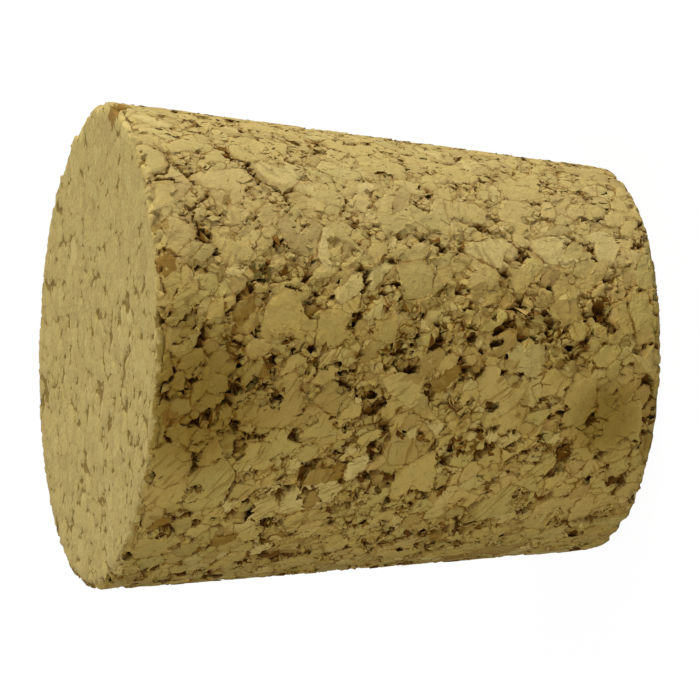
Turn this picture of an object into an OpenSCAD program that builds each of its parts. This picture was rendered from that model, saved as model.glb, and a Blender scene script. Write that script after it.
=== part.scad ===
// Tapered stopper of bonded cork granules, pressed as one blank and ground to its taper.
// It is a single solid. It stands on its small end, with +Z up its axis to the large end.
// Sizes are in millimetres.

/* [Taper] */
// Diameter across the large end
large_d = 35; // [24:0.5:60]
// Diameter across the small end
small_d = 28; // [18:0.5:50]
// Length from end to end
length = 38; // [24:0.5:70]

/* [Rims] */
// Rounding of the rim at the large end
large_round = 0.6; // [0.2:0.1:1.2]
// Rounding of the rim at the small end
small_round = 0.8; // [0.2:0.1:1.2]

/* [Sunk granules] */
// Number of granules all round the side whose faces broke off below it
sunk_granules = 240; // [0:1:300]
// Length of a usual sunk granule
sunk_size = 3.6; // [1.5:0.1:4.5]
// Depth of its face below the side
sunk_depth = 0.3; // [0.15:0.05:0.7]

/* [Voids] */
// Mouth of a usual void, where one granule has come away from the side
void_size = 0.8; // [0.4:0.1:2]
// Depth of a void below the side
void_depth = 1; // [0.4:0.1:2]
// One in this many sunk granules has a void at its end
void_every = 3; // [1:1:20]

/* [Rim chips] */
// Mouth of a usual chip in a rim
chip_size = 1.8; // [0.6:0.1:2.6]
// Depth of a chip, in from the corner of its rim
chip_depth = 0.8; // [0.3:0.1:1.4]

/* [Hidden] */

large_r = large_d / 2;
small_r = small_d / 2;
taper_angle = atan((large_r - small_r) / length);

// Steps that draw each rounded rim
rim_steps = 6;
// Facets round the turned body
turned_facets = 128;
// How far a cutter stands out of the surface that it breaks through
proud = 0.6;
// Corners of a granule, and the least share of its half-length at which one of them lies
granule_corners = 5;
corner_least = 0.75;

// Sunk granules lie one golden turn on from the last, evenly between these shares of the length
sunk_low = 0.03;
sunk_high = 0.97;
golden_turn = 180 * (3 - sqrt(5));
// The rest is drawn at random, always the same for one seed: lengths and widths as shares of the
// usual length, depths as shares of the usual depth, turns, and leans of the faces
sunk_seed = 11;
SUNK_LONG = drawn(0.7, 1.3, 0);
SUNK_WIDE = drawn(0.5, 0.8, 1);
SUNK_DEEP = drawn(0.6, 1.2, 2);
SUNK_TURN = drawn(0, 180, 3);
SUNK_LEAN = drawn(-5, 5, 4);
// How far along a sunk granule its void lies, as a share of the granule's length
void_along = 0.25;

// Voids on the front, each as [share of the length up from the small end, angle from +X,
// length and width in usual voids, turn of the long side from the axis]
FRONT_VOIDS = [
    [0.82, 262, 2.0, 0.8, 50],
    [0.34, 273, 1.0, 0.9, 20],
    [0.34, 280, 1.2, 0.7, 85],
    [0.34, 256, 1.2, 0.9, 30],
    [0.39, 257, 1.5, 0.6, 10],
    [0.80, 287, 1.4, 1.0, 15],
    [0.29, 249, 0.9, 0.8, 40],
    [0.25, 246, 1.2, 0.6, 145],
    [0.12, 232, 1.3, 0.7, 10],
    [0.64, 265, 1.2, 0.8, 0],
    [0.62, 250, 0.9, 0.8, 60],
    [0.64, 288, 1.3, 0.6, 170],
    [0.62, 277, 1.3, 0.6, 80],
    [0.53, 267, 1.5, 0.6, 95],
    [0.69, 234, 1.0, 0.8, 120],
    [0.85, 226, 1.1, 0.8, 5],
    [0.11, 278, 1.3, 0.7, 90],
    [0.56, 304, 0.9, 0.7, 0],
    [0.40, 320, 1.0, 0.8, 25],
    [0.23, 290, 0.8, 0.7, 35],
];

// The crosswise granule of a torn void: its shares of the void's length, for its own size and for its
// shift from the middle, and its turn
torn_share = 0.7;
torn_shift = 0.25;
torn_turn = 65;

// Lean of a rim's cutters from +Z, half-way between its end and the side
small_rim_lean = 135;
large_rim_lean = 45;
// Chips in the two rims, each as [angle from +X, length and width in usual chips]
SMALL_RIM_CHIPS = [[225, 0.9, 0.8], [211, 1.2, 0.7], [255, 0.7, 0.6], [80, 0.9, 0.6], [150, 0.8, 0.5]];
LARGE_RIM_CHIPS = [
    [38, 2.6, 1.0],
    [22, 2.4, 1.0],
    [52, 0.9, 0.7],
    [196, 0.9, 0.5],
    [212, 0.8, 0.6],
    [239, 0.7, 0.5],
    [300, 1.0, 0.6],
    [120, 0.7, 0.6],
    [88, 1.1, 0.6],
];

// Random numbers for the sunk granules, one each
function drawn(least, most, draw) = rands(least, most, sunk_granules, sunk_seed + draw);

// Radius of the side at height z
function radius_at(z) = small_r + (large_r - small_r) * z / length;

// Share of the length at which sunk granule i lies
function sunk_up(i) = sunk_low + (sunk_high - sunk_low) * (i + 0.5) / sunk_granules;

// Points round a rim of rounding r whose centre lies at height z
function rim_arc(z, r, from, to) = [
    for (i = [0:rim_steps])
        let (a = from + (to - from) * i / rim_steps, c = radius_at(z) - r / cos(taper_angle))
            [c + r * cos(a), z + r * sin(a)]
];

// Corners of one granule, drawn for its own seed
function granule_outline(long, wide, seed) =
    let (out = rands(corner_least, 1, granule_corners, seed))
        [
            for (i = [0:granule_corners - 1])
                let (a = 360 * i / granule_corners)
                    out[i] / 2 * [long * cos(a), wide * sin(a)]
        ];

// Half of the section: the axis, the small rim, the straight side and the large rim
module half_section() {
    polygon(concat(
        [[0, 0]],
        rim_arc(small_round, small_round, -90, -taper_angle),
        rim_arc(length - large_round, large_round, -taper_angle, 90),
        [[0, length]]
    ));
}

// The blank as it leaves the grinder, before any granule is lost
module ground_plug() {
    rotate_extrude($fn = turned_facets) half_section();
}

// Cutter in the shape of one granule: its mouth lies in the plane z = 0 and it reaches down to its depth
module granule_cut(long, wide, depth, seed) {
    translate([0, 0, -depth])
        linear_extrude(depth + proud)
            polygon(granule_outline(long, wide, seed));
}

// Cutter for a torn void: one granule, and a smaller one that left crosswise at its end
module torn_cut(long, wide, depth, seed) {
    granule_cut(long, wide, depth, seed);
    translate([torn_shift * long, 0, 0])
        rotate([0, 0, torn_turn])
            granule_cut(torn_share * long, wide, torn_share * depth, seed + 1);
}

// Carries a cutter to the side, square to it, with its long side along the axis before the turn
module on_side(up, around, turn) {
    z = up * length;
    rotate([0, 0, around])
        translate([radius_at(z), 0, z])
            rotate([0, 90 + taper_angle, 0])
                rotate([0, 0, turn])
                    children();
}

// Carries a cutter to the corner of a rim, with its long side along the rim
module on_rim(radius, z, lean, around) {
    rotate([0, 0, around])
        translate([radius, 0, z])
            rotate([0, lean, 0])
                rotate([0, 0, 90])
                    children();
}

// Granules whose faces lie sunk and leaning below the side, and the voids at the ends of some of them
module sunk_cuts() {
    for (i = [0:1:sunk_granules - 1])
        let (long = SUNK_LONG[i] * sunk_size, wide = SUNK_WIDE[i] * sunk_size)
            on_side(sunk_up(i), i * golden_turn, SUNK_TURN[i]) {
                rotate([0, SUNK_LEAN[i], 0])
                    granule_cut(long, wide, SUNK_DEEP[i] * sunk_depth, i);
                if (i % void_every == 0)
                    translate([void_along * long, 0, 0])
                        granule_cut(SUNK_WIDE[i] * void_size, SUNK_LONG[i] * void_size, void_depth, i + 1);
            }
}

// The large voids of the front
module front_void_cuts() {
    for (i = [0:len(FRONT_VOIDS) - 1])
        let (v = FRONT_VOIDS[i])
            on_side(v[0], v[1], v[4])
                torn_cut(v[2] * void_size, v[3] * void_size, void_depth, i);
}

// Chips along one rim
module chip_cuts(chips, radius, z, lean) {
    for (i = [0:len(chips) - 1])
        let (c = chips[i])
            on_rim(radius, z, lean, c[0])
                granule_cut(c[1] * chip_size, c[2] * chip_size, chip_depth, i);
}

module stopper() {
    color("tan")
        difference() {
            ground_plug();
            sunk_cuts();
            front_void_cuts();
            chip_cuts(SMALL_RIM_CHIPS, small_r, 0, small_rim_lean);
            chip_cuts(LARGE_RIM_CHIPS, large_r, length, large_rim_lean);
        }
}

stopper();
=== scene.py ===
# %% [markdown]
# # A cork stopper, ground from bonded granules
# The real stopper starts as cork bark, milled to granules, bonded in a mould and ground to a taper.
# What the eye reads as "cork" is the cut through those granules: pale faces, dark seams between
# them, and pits where a granule has come away. This lesson carves that relief into a real mesh and
# then colours it with the same recipe, so that colour and shape always agree.

# %% Load the frame
import math

import bpy
import numpy as np
from mathutils import Matrix, Vector


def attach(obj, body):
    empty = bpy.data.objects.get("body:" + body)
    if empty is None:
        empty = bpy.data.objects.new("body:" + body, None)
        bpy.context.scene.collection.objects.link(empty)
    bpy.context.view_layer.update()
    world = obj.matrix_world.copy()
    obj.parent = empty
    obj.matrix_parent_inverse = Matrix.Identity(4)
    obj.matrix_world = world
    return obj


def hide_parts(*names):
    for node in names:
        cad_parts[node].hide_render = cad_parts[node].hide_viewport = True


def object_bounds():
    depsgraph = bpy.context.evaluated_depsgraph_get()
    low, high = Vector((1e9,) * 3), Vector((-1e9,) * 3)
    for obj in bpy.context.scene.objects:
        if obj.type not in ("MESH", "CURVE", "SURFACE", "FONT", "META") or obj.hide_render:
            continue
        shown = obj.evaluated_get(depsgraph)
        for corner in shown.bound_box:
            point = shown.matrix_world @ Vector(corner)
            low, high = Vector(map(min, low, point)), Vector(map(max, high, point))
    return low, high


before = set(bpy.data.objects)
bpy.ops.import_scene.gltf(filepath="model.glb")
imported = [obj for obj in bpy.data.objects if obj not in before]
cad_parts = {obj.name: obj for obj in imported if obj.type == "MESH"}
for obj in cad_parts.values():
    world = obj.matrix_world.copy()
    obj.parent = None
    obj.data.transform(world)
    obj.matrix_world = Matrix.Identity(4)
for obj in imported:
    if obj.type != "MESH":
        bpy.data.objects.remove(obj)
cad_low, cad_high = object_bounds()
MM = 0.001
print("CAD box in mm:", [round(side / MM, 2) for side in cad_high - cad_low])

# %% [markdown]
# ## The ground taper
# The grinder leaves a plain cone between two flat ends. Its size is read back from the CAD solid:
# the widest ring near each end gives two points of the cone's side, and a line through them gives
# its radius at any height. The carving and the colours both measure depth from this cone.

# %% Measure the taper
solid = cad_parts["stopper"]
corners = np.array([v.co for v in solid.data.vertices])
radii = np.hypot(corners[:, 0], corners[:, 1])
height = float(cad_high.z - cad_low.z)
RIM_SHARE = 0.03


def widest_ring(near_end):
    """Height and radius of the outermost corner among those near one end."""
    nearby = np.flatnonzero(near_end)
    outermost = nearby[np.argmax(radii[nearby])]
    return float(corners[outermost, 2]), float(radii[outermost])


low_z, low_r = widest_ring(corners[:, 2] < RIM_SHARE * height)
high_z, high_r = widest_ring(corners[:, 2] > (1 - RIM_SHARE) * height)
slope = (high_r - low_r) / (high_z - low_z)
foot_r = low_r - slope * low_z
print(f"height {height / MM:.2f} mm, radius {foot_r / MM:.2f} mm at the foot, taper {slope:.4f}")

# %% [markdown]
# ## Camera
# The photograph was taken with a long lens, a little from the large end, with the stopper lying
# down. Here the stopper stands, so the camera is rolled by nearly a quarter turn instead. It is
# made first, because the stopper's looks are judged through it.

# %% Camera
CAMERA_DISTANCE = 402.5 * MM
CAMERA_ELEVATION = math.radians(16.92)
CAMERA_ROLL = math.radians(88.52)
LENS_MM = 286.6
AIM_RAISED = 0.16 * MM
CLIP_NEAR, CLIP_FAR = 0.01, 10

right = Vector((1, 0, 0))
upward = Vector((0, math.sin(CAMERA_ELEVATION), math.cos(CAMERA_ELEVATION)))
back = Vector((0, -math.cos(CAMERA_ELEVATION), math.sin(CAMERA_ELEVATION)))
rolled_right = math.cos(CAMERA_ROLL) * right - math.sin(CAMERA_ROLL) * upward
rolled_up = math.sin(CAMERA_ROLL) * right + math.cos(CAMERA_ROLL) * upward
aim = Vector((0, 0, height / 2)) + AIM_RAISED * rolled_up

bpy.ops.object.select_all(action="DESELECT")
bpy.ops.object.camera_add()
camera = bpy.context.object
camera.data.lens = LENS_MM
turned = Matrix((rolled_right, rolled_up, back)).transposed()
camera.matrix_world = Matrix.Translation(aim + CAMERA_DISTANCE * back) @ turned.to_4x4()
camera.data.clip_start = CLIP_NEAR
camera.data.clip_end = CLIP_FAR
bpy.context.scene.camera = camera
print("camera at", [round(x / MM, 1) for x in camera.location], "mm")

# %% [markdown]
# ## A skin fine enough to carve
# A granule's border is a few tenths of a millimetre wide, and the CAD solid has long thin triangles
# that can't bend. A voxel remesh rebuilds the same solid, pits and chipped rims included, from even
# small squares. It starts from a copy whose doubled corners are merged, because the CAD mesh is
# loose triangles.

# %% Copy the solid and remesh it
VOXEL = 0.13 * MM
DOUBLED = 0.001 * MM

cork = bpy.data.objects.new("ground_cork", solid.data.copy())
bpy.context.scene.collection.objects.link(cork)
cork.data.materials.clear()


def make_active(piece):
    """Selects one piece alone, as a click on it would."""
    bpy.ops.object.select_all(action="DESELECT")
    piece.select_set(True)
    bpy.context.view_layer.objects.active = piece


def apply_last(piece):
    """Applies the piece's last modifier and says how many faces it leaves."""
    make_active(piece)
    modifier = piece.modifiers[-1].name
    bpy.ops.object.modifier_apply(modifier=modifier)
    print(f"{modifier}: {len(piece.data.polygons)} faces")


make_active(cork)
bpy.ops.object.mode_set(mode="EDIT")
bpy.ops.mesh.select_all(action="SELECT")
bpy.ops.mesh.remove_doubles(threshold=DOUBLED)
bpy.ops.object.mode_set(mode="OBJECT")

even_squares = cork.modifiers.new("even squares", "REMESH")
even_squares.mode = "VOXEL"
even_squares.voxel_size = VOXEL
apply_last(cork)

# %% [markdown]
# ## Building with nodes from code
# The same few nodes carve the mesh (as Geometry Nodes) and paint it (as a shader). These helpers
# add one node to whichever tree they are given, and plug in values or other nodes' outputs.

# %% Node helpers
CENTRE = (0.5, 0.5, 0.5)


def add(tree, kind, plugs, **settings):
    """Adds a node, sets its options, and fills its inputs with values or with links."""
    made = tree.nodes.new(kind)
    for option, value in settings.items():
        setattr(made, option, value)
    for name, value in plugs.items():
        if isinstance(value, bpy.types.NodeSocket):
            tree.links.new(value, made.inputs[name])
        else:
            made.inputs[name].default_value = value
    return made


def maths(tree, operation, *values):
    """A Math node on one, two or three numbers."""
    return add(tree, "ShaderNodeMath", dict(enumerate(values)), operation=operation).outputs[0]


def vectors(tree, operation, *values):
    """A Vector Math node. The result is a number for a dot product and a vector otherwise."""
    made = add(tree, "ShaderNodeVectorMath", dict(enumerate(values)), operation=operation)
    return made.outputs["Value" if operation == "DOT_PRODUCT" else "Vector"]


def times(tree, vector, factor):
    """A vector made longer or shorter."""
    plugs = {"Vector": vector, "Scale": factor}
    return add(tree, "ShaderNodeVectorMath", plugs, operation="SCALE").outputs["Vector"]


def length_of(tree, vector):
    """The length of a vector."""
    return maths(tree, "SQRT", vectors(tree, "DOT_PRODUCT", vector, vector))


def rise(tree, value, start, end, low=0.0, high=1.0):
    """A smooth step: low before start, high after end."""
    plugs = {"Value": value, "From Min": start, "From Max": end, "To Min": low, "To Max": high}
    made = add(tree, "ShaderNodeMapRange", plugs, interpolation_type="SMOOTHSTEP")
    return made.outputs["Result"]


def either(tree, share, first, second):
    """The first number where share is 0, the second where it is 1."""
    return add(tree, "ShaderNodeMix", {0: share, 2: first, 3: second}, data_type="FLOAT").outputs[0]


def split(tree, vector):
    """The three parts of a vector or a colour."""
    return list(add(tree, "ShaderNodeSeparateXYZ", {0: vector}).outputs)


def noise(tree, place, size, detail=2.0, roughness=0.5):
    """Cloudy noise with features of about this size, in millimetres."""
    plugs = {"Vector": place, "Scale": 1 / size, "Detail": detail, "Roughness": roughness}
    return add(tree, "ShaderNodeTexNoise", plugs).outputs


def wandering(tree, place, size):
    """A cloudy number that wanders about zero."""
    return maths(tree, "SUBTRACT", noise(tree, place, size)[0], 0.5)


def centred(tree, vector):
    """Three numbers from 0 to 1, shifted to lie about zero."""
    return vectors(tree, "SUBTRACT", vector, CENTRE)


# %% [markdown]
# ## Where the stopper was ground
# Grinding makes a cone and sanding makes two flat ends. How far a place lies below each tells the
# recipe what it is looking at: a face of the side, a sanded end, the rim between them or a pit. The
# sanded part of an end stops short of the rim, on a ragged line, because crumbs break off there.

# %% Distances from the ground faces
END_TOP, END_SKIN = 0.02, 0.3
RIM_FROM, RIM_TO = 0.3, 0.6
RIM_RAGGED, RIM_CRUMB = 1.6, 0.9
RIM_NEAR, RIM_FAR = 0.35, 0.9
LOST_FROM, LOST_TO = -0.03, 0.1


def from_faces(tree, place):
    """How far a place in mm lies in from the cone's side, and how far from the nearer end."""
    x, y, z = split(tree, place)
    squared = maths(tree, "MULTIPLY_ADD", x, x, maths(tree, "MULTIPLY", y, y))
    from_axis = maths(tree, "SQRT", squared)
    from_side = maths(tree, "SUBTRACT", maths(tree, "MULTIPLY_ADD", z, slope, foot_r / MM), from_axis)
    return from_side, maths(tree, "MINIMUM", z, maths(tree, "SUBTRACT", height / MM, z))


def depth_below(tree, place):
    """How far a place in mm lies below the plain cone and its flat ends."""
    return maths(tree, "MINIMUM", *from_faces(tree, place))


def sanding(tree, place):
    """Share of sanding at a place in mm, and share of crumbling at a rim."""
    from_side, from_end = from_faces(tree, place)
    wander = wandering(tree, place, RIM_CRUMB)
    inset = maths(tree, "MULTIPLY_ADD", wander, RIM_RAGGED, from_side)
    ended = rise(tree, from_end, END_TOP, END_SKIN, 1.0, 0.0)
    sanded = maths(tree, "MULTIPLY", ended, rise(tree, inset, RIM_FROM, RIM_TO))
    near_side = rise(tree, from_side, RIM_NEAR, RIM_FAR, 1.0, 0.0)
    near_end = rise(tree, from_end, RIM_NEAR, RIM_FAR, 1.0, 0.0)
    at_rim = maths(tree, "MULTIPLY", near_side, near_end)
    return sanded, maths(tree, "MULTIPLY", at_rim, rise(tree, wander, LOST_FROM, LOST_TO))


print("sanded skin of the ends:", END_SKIN, "mm, rims crumble within", RIM_FAR, "mm")

# %% [markdown]
# ## The granules
# Voronoi cells look like a cut through packed granules: each cell has a border and random numbers
# of its own. Real granulate has a spread of sizes, so three sizes of cell are nested by chance.
# Some large cells stay whole. The rest break into middling ones, and some of those break into
# crumbs. Noise bends the place first, so that borders are ragged, as torn cork is. No large cell
# stays whole in the sunk granules and voids of the CAD solid, because that is where the bond
# failed, nor on the sanded ends.

# %% The granule recipe
LARGE, MIDDLING, CRUMB = 3.0, 1.6, 0.75
WHOLE_LARGE, WHOLE_MIDDLING, WHOLE_SUNK = 0.42, 0.72, 0.55
RAGGED, RAGGED_SIZE = 1.0, 1.4
RAGGED_DETAIL, RAGGED_ROUGHNESS = 5.0, 0.72
# Each size with the turn and the stretch of its cells
GRANULE_SIZES = (
    (LARGE, (0.4, 0.9, 0.2), (1.0, 1.4, 0.8)),
    (MIDDLING, (1.1, 0.3, 0.7), (1.5, 0.75, 1.0)),
    (CRUMB, (0.2, 0.5, 1.3), (1.0, 1.3, 0.8)),
)


def pick(tree, share, first, second):
    """The first vector where share is 0, the second where it is 1."""
    plugs = {0: share, 4: first, 5: second}
    return add(tree, "ShaderNodeMix", plugs, data_type="VECTOR").outputs[1]


def granule_size(tree, place, size, turn, stretch):
    """One size of granule: the distance to its border in mm, the share of its size that the place
    lies out from its middle, three numbers drawn for it, and the way from its middle in mm."""
    plugs = {"Vector": place, "Rotation": turn}
    turner = add(tree, "ShaderNodeVectorRotate", plugs, rotation_type="EULER_XYZ")
    scaled = vectors(tree, "MULTIPLY", turner.outputs[0], [part / size for part in stretch])
    plugs = {"Vector": scaled, "Scale": 1.0}
    drawn = add(tree, "ShaderNodeTexVoronoi", plugs, feature="F1")
    border = add(tree, "ShaderNodeTexVoronoi", plugs, feature="DISTANCE_TO_EDGE")
    arm = times(tree, vectors(tree, "SUBTRACT", scaled, drawn.outputs["Position"]), size)
    edge = maths(tree, "MULTIPLY", border.outputs[0], size)
    return edge, drawn.outputs["Distance"], drawn.outputs["Color"], arm


def granules(tree, place, loose, sanded):
    """The cut through the granules at a place in mm, as a dictionary of sockets."""
    wave = noise(tree, place, RAGGED_SIZE, RAGGED_DETAIL, RAGGED_ROUGHNESS)["Color"]
    ragged = vectors(tree, "ADD", place, times(tree, centred(tree, wave), RAGGED))
    large, middling, crumb = [granule_size(tree, ragged, *size) for size in GRANULE_SIZES]
    in_void = maths(tree, "GREATER_THAN", maths(tree, "MAXIMUM", loose, sanded), 0.5)
    broken = maths(tree, "GREATER_THAN", split(tree, large[2])[0], WHOLE_LARGE)
    broken = maths(tree, "MAXIMUM", broken, in_void)
    whole = either(tree, in_void, WHOLE_MIDDLING, WHOLE_SUNK)
    crumbles = maths(tree, "GREATER_THAN", split(tree, middling[2])[0], whole)
    crumbled = maths(tree, "MULTIPLY", broken, crumbles)
    return {
        "edge": either(tree, crumbled, either(tree, broken, large[0], middling[0]), crumb[0]),
        "out": either(tree, crumbled, either(tree, broken, large[1], middling[1]), crumb[1]),
        "draw": pick(tree, crumbled, pick(tree, broken, large[2], middling[2]), crumb[2]),
        "arm": pick(tree, crumbled, pick(tree, broken, large[3], middling[3]), crumb[3]),
        "crumbled": crumbled,
        "ragged": ragged,
    }


print("granules of about", LARGE, MIDDLING, "and", CRUMB, "mm")

# %% [markdown]
# ## Seams and gaps
# Granules are pressed tight, but their corners are rounded, so a dark wedge stays open where three
# of them meet. A place that is far out from the middle of every granule is such a corner, so the
# distance that the Voronoi node gives already draws the wedges. Thin seams run between them, wider
# here and there, so their width follows a noise. The press left the +X side tighter than the rest,
# so its wedges are fewer and narrower. The ends are sanded, and show little more than the marks of
# the wedges.

# %% The relief recipe
TIGHT_FROM, TIGHT_TO = 1.0, 11.0
LOOSENESS_SIZE, OPENNESS_SIZE = 5.5, 1.1
ROUGH_SIZE, ROUGH_DETAIL, ROUGH_ROUGHNESS = 0.5, 3.0, 0.65
SEAM_START, SEAM_LOOSENED, SEAM_GAIN = 0.47, 0.2, 0.8
SEAM_LEAST, SEAM_MOST = 0.001, 0.11
SEAM_SHUT, SEAM_OPEN = 0.01, 0.08
WEDGE_START, WEDGE_WALL, WEDGE_NEAR = 0.75, 0.05, 0.14
WEDGE_LOOSENED, WEDGE_OPENED = -0.2, -0.35
WEDGE_SUNK, WEDGE_SANDED, WEDGE_PRESSED = -0.03, -0.01, 0.08
WEDGE_HALF, WEDGE_HALF_TIGHT, WEDGE_HALF_SANDED, WEDGE_TAPER = 0.32, 0.17, 0.6, 0.2


def relief(tree, place, granule, loose, sanded):
    """Seams, wedges and roughness at a place in mm, and how tightly it was pressed."""
    tight = rise(tree, split(tree, place)[0], TIGHT_FROM, TIGHT_TO)
    looseness = wandering(tree, place, LOOSENESS_SIZE)
    openness = wandering(tree, granule["ragged"], OPENNESS_SIZE)

    started = maths(tree, "SUBTRACT", openness, SEAM_START - 0.5)
    opened = maths(tree, "MULTIPLY_ADD", looseness, SEAM_LOOSENED, started)
    gap = maths(tree, "MULTIPLY", opened, SEAM_GAIN)
    width = maths(tree, "MAXIMUM", maths(tree, "MINIMUM", gap, SEAM_MOST), SEAM_LEAST)
    line = rise(tree, granule["edge"], 0.0, width, 1.0, 0.0)

    limit = maths(tree, "MULTIPLY_ADD", looseness, WEDGE_LOOSENED, WEDGE_START)
    limit = maths(tree, "MULTIPLY_ADD", openness, WEDGE_OPENED, limit)
    limit = maths(tree, "MULTIPLY_ADD", loose, WEDGE_SUNK, limit)
    limit = maths(tree, "MULTIPLY_ADD", sanded, WEDGE_SANDED, limit)
    limit = maths(tree, "MULTIPLY_ADD", tight, WEDGE_PRESSED, limit)
    past = maths(tree, "SUBTRACT", granule["out"], limit)
    half = either(tree, tight, WEDGE_HALF, WEDGE_HALF_TIGHT)
    half = maths(tree, "MAXIMUM", half, maths(tree, "MULTIPLY", sanded, WEDGE_HALF_SANDED))
    beyond = maths(tree, "SUBTRACT", granule["edge"], half)
    narrow = rise(tree, beyond, -WEDGE_TAPER, 0.0, 1.0, 0.0)
    return {
        "seam": maths(tree, "MULTIPLY", line, rise(tree, width, SEAM_SHUT, SEAM_OPEN)),
        "wedge": maths(tree, "MULTIPLY", rise(tree, past, 0.0, WEDGE_WALL), narrow),
        "near_wedge": rise(tree, past, -WEDGE_NEAR, 0.0),
        "tight": tight,
        "rough": noise(tree, place, ROUGH_SIZE, ROUGH_DETAIL, ROUGH_ROUGHNESS)[0],
    }


print("seams up to", SEAM_MOST, "mm from a border, wedges up to", WEDGE_HALF, "mm")

# %% [markdown]
# ## Tearing
# The CAD solid's sunk granules and voids have straight walls, and torn cork has none. A Geometry
# Nodes modifier pulls them about sideways, by a coarse and a fine noise, and leaves the ends alone.
# It then stores two things for the carving and the shader: where each point lies before it is
# carved, and how near it is to a sunk place.

# %% Tear the voids and remember the places
TORN, TORN_SIZE = 1.2, 1.2
FRAYED, FRAYED_SIZE = 1.0, 0.45
TORN_FROM, TORN_TO = 1.0, 2.5
SUNK_FROM, SUNK_TO = 0.12, 0.26
LOOSE_STEPS, LOOSE_FROM, LOOSE_TO = 16, 0.12, 0.5
SIDEWAYS = (1, 1, 0)

carving = bpy.data.node_groups.new("granule carving", "GeometryNodeTree")
carving.interface.new_socket("Geometry", in_out="INPUT", socket_type="NodeSocketGeometry")
carving.interface.new_socket("Geometry", in_out="OUTPUT", socket_type="NodeSocketGeometry")
mesh_in = carving.nodes.new("NodeGroupInput").outputs[0]
mesh_out = carving.nodes.new("NodeGroupOutput").inputs[0]
at = add(carving, "GeometryNodeInputPosition", {}).outputs[0]
place_mm = times(carving, at, 1 / MM)

sway = times(carving, centred(carving, noise(carving, place_mm, TORN_SIZE)["Color"]), TORN)
fray = times(carving, centred(carving, noise(carving, place_mm, FRAYED_SIZE)["Color"]), FRAYED)
sway = vectors(carving, "ADD", sway, fray)
radial = vectors(carving, "NORMALIZE", vectors(carving, "MULTIPLY", place_mm, SIDEWAYS))
inwards = times(carving, radial, vectors(carving, "DOT_PRODUCT", sway, radial))
sway = vectors(carving, "SUBTRACT", sway, inwards)
to_end = from_faces(carving, place_mm)[1]
sway = times(carving, sway, rise(carving, to_end, TORN_FROM, TORN_TO, 0.0, MM))
torn = add(carving, "GeometryNodeSetPosition", {"Geometry": mesh_in, "Offset": sway})

below = rise(carving, depth_below(carving, place_mm), SUNK_FROM, SUNK_TO)
spread = add(carving, "GeometryNodeBlurAttribute", {"Value": below, "Iterations": LOOSE_STEPS})
loosened = rise(carving, spread.outputs[0], LOOSE_FROM, LOOSE_TO)
held = torn.outputs[0]
for name, value, kind in (("ground_place", at, "FLOAT_VECTOR"), ("loosened", loosened, "FLOAT")):
    plugs = {"Geometry": held, "Name": name, "Value": value}
    held = add(carving, "GeometryNodeStoreNamedAttribute", plugs, data_type=kind).outputs[0]
print("tearing:", len(carving.nodes), "nodes")

# %% [markdown]
# ## Carving
# The same modifier then moves each point along its normal. Seams and wedges go in, each granule's
# face leans and sinks by its own draws, and crumbs break off along the rims. Crumbs in a sunk place
# stand up from its floor a little. Sanding leaves only a small share of all this on the ends.

# %% Carve the granules
CRUMB_WEDGE, GRANULE_WEDGE, TIGHT_WEDGE = 0.42, 0.6, 0.36
SEAM_DEPTH, SEAM_DEPTH_TIGHT = 0.16, 0.09
STANDING, STANDING_TIGHT = 0.12, 0.22
SUNK_CRUMB, SUNK_GRANULE, SUNK_POWER = 0.22, 0.12, 1.5
ROUGH_CRUMB, ROUGH_GRANULE = 0.14, 0.04
TILT = 0.14
EDGE_ROUND, EDGE_REACH = 0.05, 0.2
LEAST_DEPTH = 0.02
TIGHT_SHARE = 0.65
RIM_LOSS = 0.35
SANDED_SHARE = 0.12
GROUND_OFF = 0.012

plugs = {"Name": "loosened"}
loose = add(carving, "GeometryNodeInputNamedAttribute", plugs, data_type="FLOAT").outputs[0]
sanded, rim_lost = sanding(carving, place_mm)
cut = granules(carving, place_mm, loose, sanded)
shape = relief(carving, place_mm, cut, loose, sanded)
tight, crumbled = shape["tight"], cut["crumbled"]

drawn_depth = maths(carving, "POWER", split(carving, cut["draw"])[2], SUNK_POWER)
sunk = maths(carving, "MULTIPLY", drawn_depth, either(carving, crumbled, SUNK_GRANULE, SUNK_CRUMB))
lean = vectors(carving, "DOT_PRODUCT", cut["arm"], centred(carving, cut["draw"]))
leaning = maths(carving, "ADD", sunk, maths(carving, "MULTIPLY", lean, TILT))
roughest = either(carving, crumbled, ROUGH_GRANULE, ROUGH_CRUMB)
soft_edge = rise(carving, cut["edge"], 0.0, EDGE_REACH, EDGE_ROUND, 0.0)
worn = maths(carving, "ADD", maths(carving, "MULTIPLY", shape["rough"], roughest), soft_edge)
face = maths(carving, "ADD", leaning, worn)
face = maths(carving, "MULTIPLY", face, either(carving, tight, 1.0, TIGHT_SHARE))
face = maths(carving, "MAXIMUM", face, LEAST_DEPTH)
seam_depth = either(carving, tight, SEAM_DEPTH, SEAM_DEPTH_TIGHT)
seamed = maths(carving, "MULTIPLY_ADD", shape["seam"], seam_depth, face)
wedge_depth = either(carving, crumbled, GRANULE_WEDGE, CRUMB_WEDGE)
wedge_depth = either(carving, tight, wedge_depth, TIGHT_WEDGE)
deep = maths(carving, "MULTIPLY_ADD", shape["wedge"], wedge_depth, seamed)
standing = either(carving, tight, -STANDING, -STANDING_TIGHT)
deep = maths(carving, "ADD", deep, maths(carving, "MULTIPLY", loose, standing))
finer = rise(carving, sanded, 0.0, 1.0, 1.0, SANDED_SHARE)
depth = maths(carving, "MULTIPLY_ADD", deep, finer, GROUND_OFF)
depth = maths(carving, "MULTIPLY_ADD", rim_lost, RIM_LOSS, depth)
outwards = add(carving, "GeometryNodeInputNormal", {}).outputs[0]
moving = times(carving, outwards, maths(carving, "MULTIPLY", depth, -MM))
moved = add(carving, "GeometryNodeSetPosition", {"Geometry": held, "Offset": moving})
print("carving:", len(carving.nodes), "nodes")

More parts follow.
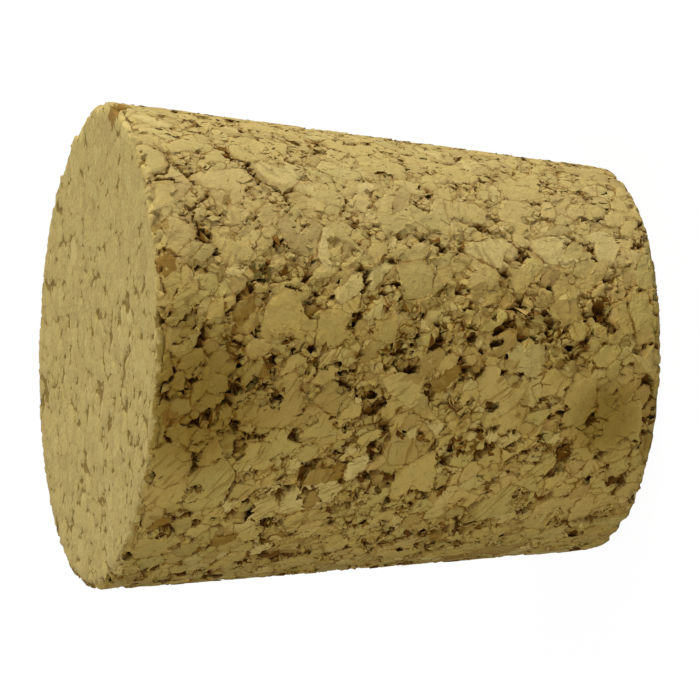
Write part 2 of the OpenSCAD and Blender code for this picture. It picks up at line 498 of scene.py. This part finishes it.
# %% [markdown]
# ## Grinding back to size
# Standing crumbs must not make the stopper larger than it was ground. A last Set Position draws
# every point that is outside the cone straight in to it, and holds the two ends flat. Then the
# modifier is applied, and a Decimate spends the triangles where the relief is and not on the flat
# faces of the granules. It can leave a few doubled and loose faces, which are cleared away.

# %% Keep inside the cone
FAR_OUT = 1

up = split(carving, place_mm)[2]
from_axis = length_of(carving, vectors(carving, "MULTIPLY", place_mm, SIDEWAYS))
cone = maths(carving, "MULTIPLY_ADD", up, slope, foot_r / MM)
widest = maths(carving, "MINIMUM", cone, float(cad_high.x) / MM)
kept = maths(carving, "MINIMUM", maths(carving, "DIVIDE", widest, from_axis), 1.0)
narrowed = add(carving, "ShaderNodeCombineXYZ", {0: kept, 1: kept, 2: 1.0}).outputs[0]
within = vectors(carving, "MULTIPLY", at, narrowed)
within = vectors(carving, "MAXIMUM", within, (-FAR_OUT, -FAR_OUT, 0))
within = vectors(carving, "MINIMUM", within, (FAR_OUT, FAR_OUT, height))
ground = add(carving, "GeometryNodeSetPosition", {"Geometry": moved.outputs[0], "Position": within})
carving.links.new(ground.outputs[0], mesh_out)
print("with grinding:", len(carving.nodes), "nodes")

# %% Apply the carving
MOST_TRIANGLES = 190_000
CREASE = math.radians(40)

carver = cork.modifiers.new("granule carving", "NODES")
carver.node_group = carving
apply_last(cork)

triangles = sum(len(face.vertices) - 2 for face in cork.data.polygons)
thinned = cork.modifiers.new("fewer triangles", "DECIMATE")
thinned.ratio = MOST_TRIANGLES / triangles
apply_last(cork)
print("mended after thinning:", cork.data.validate())
make_active(cork)
bpy.ops.object.mode_set(mode="EDIT")
bpy.ops.mesh.select_all(action="SELECT")
bpy.ops.mesh.delete_loose(use_faces=True)
bpy.ops.object.mode_set(mode="OBJECT")
print("faces kept:", len(cork.data.polygons))
bpy.ops.object.shade_smooth_by_angle(angle=CREASE)

# %% [markdown]
# ## Unrolling the skin
# Other programs show the colours from a baked picture, which needs a flat map of the skin. The side
# unrolls into two halves, as a label would peel off, and the two ends are discs beside them. The map
# is drawn from the remembered places, because there the skin was not carved yet.

# %% The map
MAP_SIZE, MAP_MARGIN = 96.0, 1.0
HALF_LOW, HALF_HIGH = 1.0, 41.0
DISC_ACROSS = 76.0
DISC_LOW, DISC_HIGH = 15.5, 55.0

skin = cork.data
place = np.empty(3 * len(skin.vertices))
skin.attributes["ground_place"].data.foreach_get("vector", place)
owner = np.empty(len(skin.loops), dtype=int)
skin.loops.foreach_get("vertex_index", owner)
spots = place.reshape(-1, 3)[owner] / MM
counts = np.array([len(face.vertices) for face in skin.polygons])
face_of = np.repeat(np.arange(len(counts)), counts)


def face_mean(values):
    """The mean of a face's corners, given back to each of them."""
    return (np.bincount(face_of, values) / counts)[face_of]


mean_x, mean_y, mean_z = [face_mean(spots[:, axis]) for axis in range(3)]
mean_in = foot_r / MM + slope * mean_z - np.hypot(mean_x, mean_y)
on_end = np.minimum(mean_z, height / MM - mean_z) < mean_in
upper = mean_z > height / MM / 2
middle_turn = np.arctan2(mean_y, mean_x)
turn = np.arctan2(spots[:, 1], spots[:, 0])
turn += 2 * np.pi * np.round((middle_turn - turn) / (2 * np.pi))
behind = middle_turn > 0
flat_u = MAP_MARGIN + float(cad_high.x) / MM * np.where(behind, turn, turn + np.pi)
flat_v = np.where(behind, HALF_HIGH, HALF_LOW) + spots[:, 2]
flat_u = np.where(on_end, DISC_ACROSS + spots[:, 0], flat_u)
flat_v = np.where(on_end, np.where(upper, DISC_HIGH, DISC_LOW) + spots[:, 1], flat_v)
unrolled = skin.uv_layers.new(name="OFBake")
unrolled.data.foreach_set("uv", np.column_stack((flat_u, flat_v)).ravel() / MAP_SIZE)
print("map spans", np.round([flat_u.min(), flat_u.max(), flat_v.min(), flat_v.max()], 1), "mm")

# %% [markdown]
# ## Cork
# Cork is matt and warm. Each granule has its own tan, a few are olive, pinkish or dark bark, and
# some show the tree's growth lines. A colour ramp turns one of the granule's draws into its tan, and
# the other draws choose the rarer kinds. The shader looks the granules up at the remembered place,
# so every colour stops where the carved granule does. The +X side, where the key lamp falls, is
# painted paler as a painted sheen, and the ends are paler too.

# %% Cork colours of the granules
PALE, TAN, DEEP_TAN = (0.50, 0.380, 0.128, 1), (0.42, 0.295, 0.076, 1), (0.29, 0.185, 0.044, 1)
BARK, OLIVE, PINK = (0.23, 0.13, 0.02, 1), (0.35, 0.28, 0.075, 1), (0.43, 0.29, 0.085, 1)
# This brown colours seams and growth lines, and also the painted shade around wedges.
SEAM_AND_SHADE_BROWN = (0.15, 0.065, 0.004, 1)
# The paler tan below is a painted sheen on the +X side, where the key lamp falls.
SHEEN_TAN, SHEEN_SHARE = (0.44, 0.352, 0.155, 1), 0.42
SANDED_TAN, SANDED_TAN_SHARE = (0.52, 0.413, 0.154, 1), 0.55
TAN_STOPS = ((0.02, BARK), (0.03, DEEP_TAN), (0.35, TAN), (0.75, TAN))


def paint(tree, share, under, over):
    """One colour over another, by a share from 0 to 1."""
    return add(tree, "ShaderNodeMix", {0: share, 6: under, 7: over}, data_type="RGBA").outputs[2]


def another_draw(tree, first, second, first_factor, second_factor):
    """One more random number for a granule, from two of its draws."""
    mixed = maths(tree, "MULTIPLY", second, second_factor)
    return maths(tree, "FRACT", maths(tree, "MULTIPLY_ADD", first, first_factor, mixed))


finish = bpy.data.materials.new("bonded_cork")
finish.use_nodes = True
tree = finish.node_tree
held_place = add(tree, "ShaderNodeAttribute", {}, attribute_name="ground_place").outputs["Vector"]
place_mm = times(tree, held_place, 1 / MM)
loose = add(tree, "ShaderNodeAttribute", {}, attribute_name="loosened").outputs["Fac"]
sanded = sanding(tree, place_mm)[0]
cut = granules(tree, place_mm, loose, sanded)
shape = relief(tree, place_mm, cut, loose, sanded)
draws = split(tree, cut["draw"])
tight = shape["tight"]

ramp = add(tree, "ShaderNodeValToRGB", {0: draws[1]})
stops = ramp.color_ramp.elements
stops[0].position, stops[0].color = 0.0, BARK
stops[1].position, stops[1].color = 1.0, PALE
for position, granule_tan in TAN_STOPS:
    stops.new(position).color = granule_tan
print("tans on the ramp:", len(stops))

# %% Rarer granules, growth lines and a painted sheen
RINGED = 0.45
GROWTH_SPACING, GROWTH_WANDER, GROWTH_SHARE = 0.25, 0.5, 0.5
STREAK_SIZE, STREAK_DETAIL = 1.0, 1.0
STREAK_FROM, STREAK_TO = 0.55, 0.66
OLIVE_MIX, OLIVE_FROM, OLIVE_TO, OLIVE_SHARE = (9.1, 5.3), 0.72, 0.76, 0.4
PINK_MIX, PINK_FROM, PINK_TO, PINK_SHARE = (13.7, 7.3), 0.85, 0.86, 0.45
CLOUD_SIZE, CLOUD_DETAIL = 1.5, 3.0
CLOUD_FROM, CLOUD_TO, CLOUD_SHARE = 0.48, 0.7, 0.5
SPECKLE_FROM, SPECKLE_TO = 0.5, 0.64
SPECKLED_GRANULE, SPECKLED_CRUMB = 0.3, 0.6

direction = vectors(tree, "NORMALIZE", centred(tree, cut["draw"]))
along = vectors(tree, "DOT_PRODUCT", direction, place_mm)
layered = times(tree, direction, maths(tree, "MULTIPLY", along, 1 / GROWTH_SPACING))
layered = vectors(tree, "ADD", times(tree, place_mm, GROWTH_WANDER), layered)
streaks = noise(tree, layered, STREAK_SIZE, STREAK_DETAIL)[0]
streaks = rise(tree, streaks, STREAK_FROM, STREAK_TO)
growth = maths(tree, "MULTIPLY", maths(tree, "LESS_THAN", draws[2], RINGED), streaks)
cloudy = noise(tree, place_mm, CLOUD_SIZE, CLOUD_DETAIL)[0]
olive_draw = another_draw(tree, draws[0], draws[1], *OLIVE_MIX)
pink_draw = another_draw(tree, draws[1], draws[2], *PINK_MIX)

olive = rise(tree, olive_draw, OLIVE_FROM, OLIVE_TO, 0.0, OLIVE_SHARE)
colour = paint(tree, olive, ramp.outputs[0], OLIVE)
colour = paint(tree, rise(tree, cloudy, CLOUD_FROM, CLOUD_TO, 0.0, CLOUD_SHARE), colour, OLIVE)
colour = paint(tree, rise(tree, pink_draw, PINK_FROM, PINK_TO, 0.0, PINK_SHARE), colour, PINK)
colour = paint(tree, maths(tree, "MULTIPLY", growth, GROWTH_SHARE), colour, SEAM_AND_SHADE_BROWN)
speckled = either(tree, cut["crumbled"], SPECKLED_GRANULE, SPECKLED_CRUMB)
rough_spots = rise(tree, shape["rough"], SPECKLE_FROM, SPECKLE_TO)
colour = paint(tree, maths(tree, "MULTIPLY", rough_spots, speckled), colour, DEEP_TAN)
# Painted sheen: the +X side, which faces the key lamp, is painted paler, except on the sanded ends.
painted_sheen = maths(tree, "MULTIPLY", tight, either(tree, sanded, SHEEN_SHARE, 0.0))
colour = paint(tree, painted_sheen, colour, SHEEN_TAN)
colour = paint(tree, maths(tree, "MULTIPLY", sanded, SANDED_TAN_SHARE), colour, SANDED_TAN)
print("granule colours:", len(tree.nodes), "nodes")

# %% [markdown]
# ## Darker areas and bark
# Two areas near the ends are painted darker, partly darker granules and partly painted shade. A few
# pieces of grey and rusty bark catch the eye. Each is laid by its distance from a place on the
# stopper. An area measures from the ragged place, and a piece of bark adds the roughness, so that no
# outline is a plain circle.

# %% Darker areas and marked granules
DARK_AND_SHADE_TAN, DARK_SHARE, DARK_CORE = (0.215, 0.133, 0.018, 1), 0.8, 0.3
DARK_AND_SHADED_PATCHES = [((-3.8, -16.7, 35.0), 7.5), ((-4.4, -13.8, 4.2), 4.0)]
GREY_BARK, RUST_BARK = (0.055, 0.042, 0.004, 1), (0.19, 0.095, 0.012, 1)
BROWN = (0.30, 0.19, 0.045, 1)
MARK_FRAY, MARK_BLUR, MARK_SHARE = 3.0, 0.15, 0.85
MARKED_GRANULES = [
    ((5.5, -15.9, 30.3), 0.75, GREY_BARK),
    ((16.7, -3.4, 38.0), 1.3, RUST_BARK),
    ((-4.7, -16.8, 37.0), 0.7, RUST_BARK),
    ((5.9, -16.4, 37.3), 1.0, RUST_BARK),
    ((8.6, -15.2, 37.5), 0.6, BROWN),
    ((4.0, -14.6, 12.0), 0.8, BROWN),
    ((2.1, -14.2, 4.1), 0.8, BROWN),
    ((-1.1, -15.7, 18.6), 1.1, BROWN),
]

# Darker areas: partly darker granules, partly painted shade.
for middle, reach in DARK_AND_SHADED_PATCHES:
    apart = length_of(tree, vectors(tree, "SUBTRACT", cut["ragged"], middle))
    patch = rise(tree, apart, DARK_CORE * reach, reach, DARK_SHARE, 0.0)
    patch = maths(tree, "MULTIPLY", patch, either(tree, sanded, 1.0, 0.0))
    colour = paint(tree, patch, colour, DARK_AND_SHADE_TAN)
for middle, reach, bark in MARKED_GRANULES:
    apart = length_of(tree, vectors(tree, "SUBTRACT", place_mm, middle))
    frayed = maths(tree, "MULTIPLY_ADD", shape["rough"], MARK_FRAY, apart)
    outline = MARK_FRAY / 2 + reach
    marked = rise(tree, frayed, outline - MARK_BLUR, outline, MARK_SHARE, 0.0)
    colour = paint(tree, marked, colour, bark)
print(len(DARK_AND_SHADED_PATCHES), "darker areas and", len(MARKED_GRANULES), "marked granules")

# %% [markdown]
# ## Dark seams and pits
# Seams are brown to dark brown, and pits and wedges are brown to nearly black: partly their own
# colour and partly painted shade, where little light reaches in. Thin lines that come and go follow
# every border, the open seams are darker, and the wedges are darkest. A pit is painted darker the
# deeper it lies, as painted shade; its depth is read from the cone itself, at the carved place and
# not at the remembered one. Each wedge has a soft rim of painted shade. On the +X side, where the key
# lamp falls, seams are painted lighter and wedges browner, which is partly painted light. On the ends
# sanding leaves olive-brown flecks.

# %% Seams, pits and flecks
PIT_SHADE_BROWN, FLECK_BROWN = (0.088, 0.031, 0.001, 1), (0.15, 0.085, 0.008, 1)
HAIRLINE, HAIRLINE_SANDED, HAIRLINE_REACH = 0.5, 0.15, 0.12
FADED_FROM, FADED_TO, FADED_LEAST, FADED_MOST = 0.38, 0.58, 0.3, 1.2
SEAM_DARK, SEAM_DARK_LIT_SIDE, SEAM_DARK_SANDED = 0.95, 0.65, 0.12
PIT_FROM, PIT_TO = 0.55, 1.05
WEDGE_SHADE, WEDGE_SHADE_SANDED = 0.33, 0.1
WEDGE_DARK, WEDGE_DARK_SANDED, WEDGE_BROWN_LIT_SIDE = 0.9, 0.72, 0.8

hairline = rise(tree, cut["edge"], 0.0, HAIRLINE_REACH, 1.0, 0.0)
hairline = maths(tree, "MULTIPLY", hairline, either(tree, sanded, HAIRLINE, HAIRLINE_SANDED))
faded = rise(tree, cloudy, FADED_FROM, FADED_TO, FADED_LEAST, FADED_MOST)
hairline = maths(tree, "MULTIPLY", hairline, faded)
colour = paint(tree, hairline, colour, SEAM_AND_SHADE_BROWN)
# Seams on the +X side, where the key lamp falls, are painted lighter: partly painted light.
seam_dark = either(tree, tight, SEAM_DARK, SEAM_DARK_LIT_SIDE)
seam_dark = either(tree, sanded, seam_dark, SEAM_DARK_SANDED)
colour = paint(tree, maths(tree, "MULTIPLY", shape["seam"], seam_dark), colour, SEAM_AND_SHADE_BROWN)
# Painted shade: a pit is painted darker the deeper it lies below the cone.
here = times(tree, add(tree, "ShaderNodeTexCoord", {}).outputs["Object"], 1 / MM)
colour = paint(tree, rise(tree, depth_below(tree, here), PIT_FROM, PIT_TO), colour, PIT_SHADE_BROWN)
# Painted shade: a soft brown rim around each wedge.
wedge_shade = maths(tree, "MULTIPLY", shape["near_wedge"], either(tree, sanded, WEDGE_SHADE, WEDGE_SHADE_SANDED))
colour = paint(tree, wedge_shade, colour, SEAM_AND_SHADE_BROWN)
# Wedges on the side are painted nearly black: partly their own colour, partly painted shade.
wedge_dark = either(tree, sanded, WEDGE_DARK, WEDGE_DARK_SANDED)
wedge_dark = maths(tree, "MULTIPLY", shape["wedge"], wedge_dark)
# Wedges on the +X side are painted browner, not nearly black: partly painted light where the key lamp
# falls.
lit_side_browner = maths(tree, "MULTIPLY", tight, WEDGE_BROWN_LIT_SIDE)
gap_brown = paint(tree, sanded, paint(tree, lit_side_browner, PIT_SHADE_BROWN, SEAM_AND_SHADE_BROWN), FLECK_BROWN)
colour = paint(tree, wedge_dark, colour, gap_brown)
print("all cork colours:", len(tree.nodes), "nodes")

# %% [markdown]
# ## The finish of the faces
# Cut cork scatters light softly and hardly shines. The relief is in the mesh already, so a bump adds
# only the roughness of a cut face, which is finer than the triangles. The carved skin then takes the
# place of the CAD node that it was made from.

# %% Matt faces, and the piece in its place
MATT, SHINE = 0.88, 0.08
GRAIN, GRAIN_SANDED = -0.16, -0.10

shader = tree.nodes["Principled BSDF"]
tree.links.new(colour, shader.inputs["Base Color"])
shader.inputs["Roughness"].default_value = MATT
shader.inputs["Specular IOR Level"].default_value = SHINE
grain = maths(tree, "MULTIPLY", shape["rough"], either(tree, sanded, GRAIN, GRAIN_SANDED))
bump = add(tree, "ShaderNodeBump", {"Height": grain, "Distance": MM, "Strength": 1.0})
tree.links.new(bump.outputs[0], shader.inputs["Normal"])
cork.data.materials.append(finish)

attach(cork, "root")
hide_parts("stopper")
print(cork.name, "wears", finish.name)

# %% [markdown]
# ## Floor and light
# The photograph has a white ground, so the floor is white and mostly lights itself for the camera.
# A share of it stays plain paint, which keeps the soft shadow. The key is a large soft lamp on the
# stopper's +X side, which is upwards in the picture. Three weaker lamps fill in the front, the large
# end and the back.

# %% Floor
FLOOR_SIZE = 4.0
FLOOR_GLOW, GLOW_STRENGTH = 0.85, 1.14
FLOOR_PAINT, FLOOR_MATT = (0.2, 0.2, 0.2, 1), 0.9
WHITE = (1, 1, 1, 1)


def looked_at(tree):
    """1 for what the camera, a reflection or glass looks at, 0 for light that falls on things."""
    path = add(tree, "ShaderNodeLightPath", {}).outputs
    seen = maths(tree, "MAXIMUM", path["Is Camera Ray"], path["Is Glossy Ray"])
    return maths(tree, "MAXIMUM", seen, path["Is Transmission Ray"])


bpy.ops.object.select_all(action="DESELECT")
bpy.ops.mesh.primitive_plane_add(size=FLOOR_SIZE)
floor = bpy.context.object
floor.name = "floor"
white = bpy.data.materials.new("white_floor")
white.use_nodes = True
tree = white.node_tree
painted = tree.nodes["Principled BSDF"]
painted.inputs["Base Color"].default_value = FLOOR_PAINT
painted.inputs["Roughness"].default_value = FLOOR_MATT
glow = add(tree, "ShaderNodeEmission", {"Color": WHITE, "Strength": GLOW_STRENGTH})
glowing = maths(tree, "MULTIPLY", looked_at(tree), FLOOR_GLOW)
mixed = add(tree, "ShaderNodeMixShader", {0: glowing, 1: painted.outputs[0], 2: glow.outputs[0]})
tree.links.new(mixed.outputs[0], tree.nodes["Material Output"].inputs["Surface"])
floor.data.materials.append(white)
print(f"floor: {FLOOR_SIZE} m square")

# %% World and lamps
AMBIENT = 0.12

world = bpy.data.worlds.new("studio")
bpy.context.scene.world = world
world.use_nodes = True
tree = world.node_tree
sky = tree.nodes["Background"]
sky.inputs["Color"].default_value = WHITE
tree.links.new(either(tree, looked_at(tree), AMBIENT, 1.0), sky.inputs["Strength"])


def soft_lamp(name, aim_share, towards, distance, size, level):
    """A square lamp aimed at a share of the stopper's height. Level 1 lights a facing white to white."""
    direction = Vector(towards).normalized()
    aim = Vector((0, 0, aim_share * height))
    bpy.ops.object.light_add(type="AREA", location=aim + distance * direction)
    lamp = bpy.context.object
    lamp.name = name
    lamp.data.size = size
    lamp.data.energy = level * math.pi**2 * distance**2
    lamp.rotation_mode = "QUATERNION"
    lamp.rotation_quaternion = direction.to_track_quat("Z", "Y")
    print(f"{name}: {lamp.data.energy:.2f} W")


KEY_SIDE, FRONT_SIDE = (0.97, -0.08, 0.2), (-0.45, -0.89, 0.03)
LARGE_END, BACK_SIDE = (0.0, -0.1, 1.0), (-0.3, 0.95, 0.2)

soft_lamp("key", aim_share=0.5, towards=KEY_SIDE, distance=0.40, size=0.20, level=1.36)
soft_lamp("front_fill", aim_share=0.1, towards=FRONT_SIDE, distance=0.095, size=0.05, level=0.72)
soft_lamp("end_fill", aim_share=0.5, towards=LARGE_END, distance=0.40, size=0.30, level=0.57)
soft_lamp("back_fill", aim_share=0.5, towards=BACK_SIDE, distance=0.40, size=0.30, level=0.4)

# %% [markdown]
# ## View
# Colours are shown with the Standard view transform.

# %% View transform
bpy.context.scene.view_settings.view_transform = "Standard"
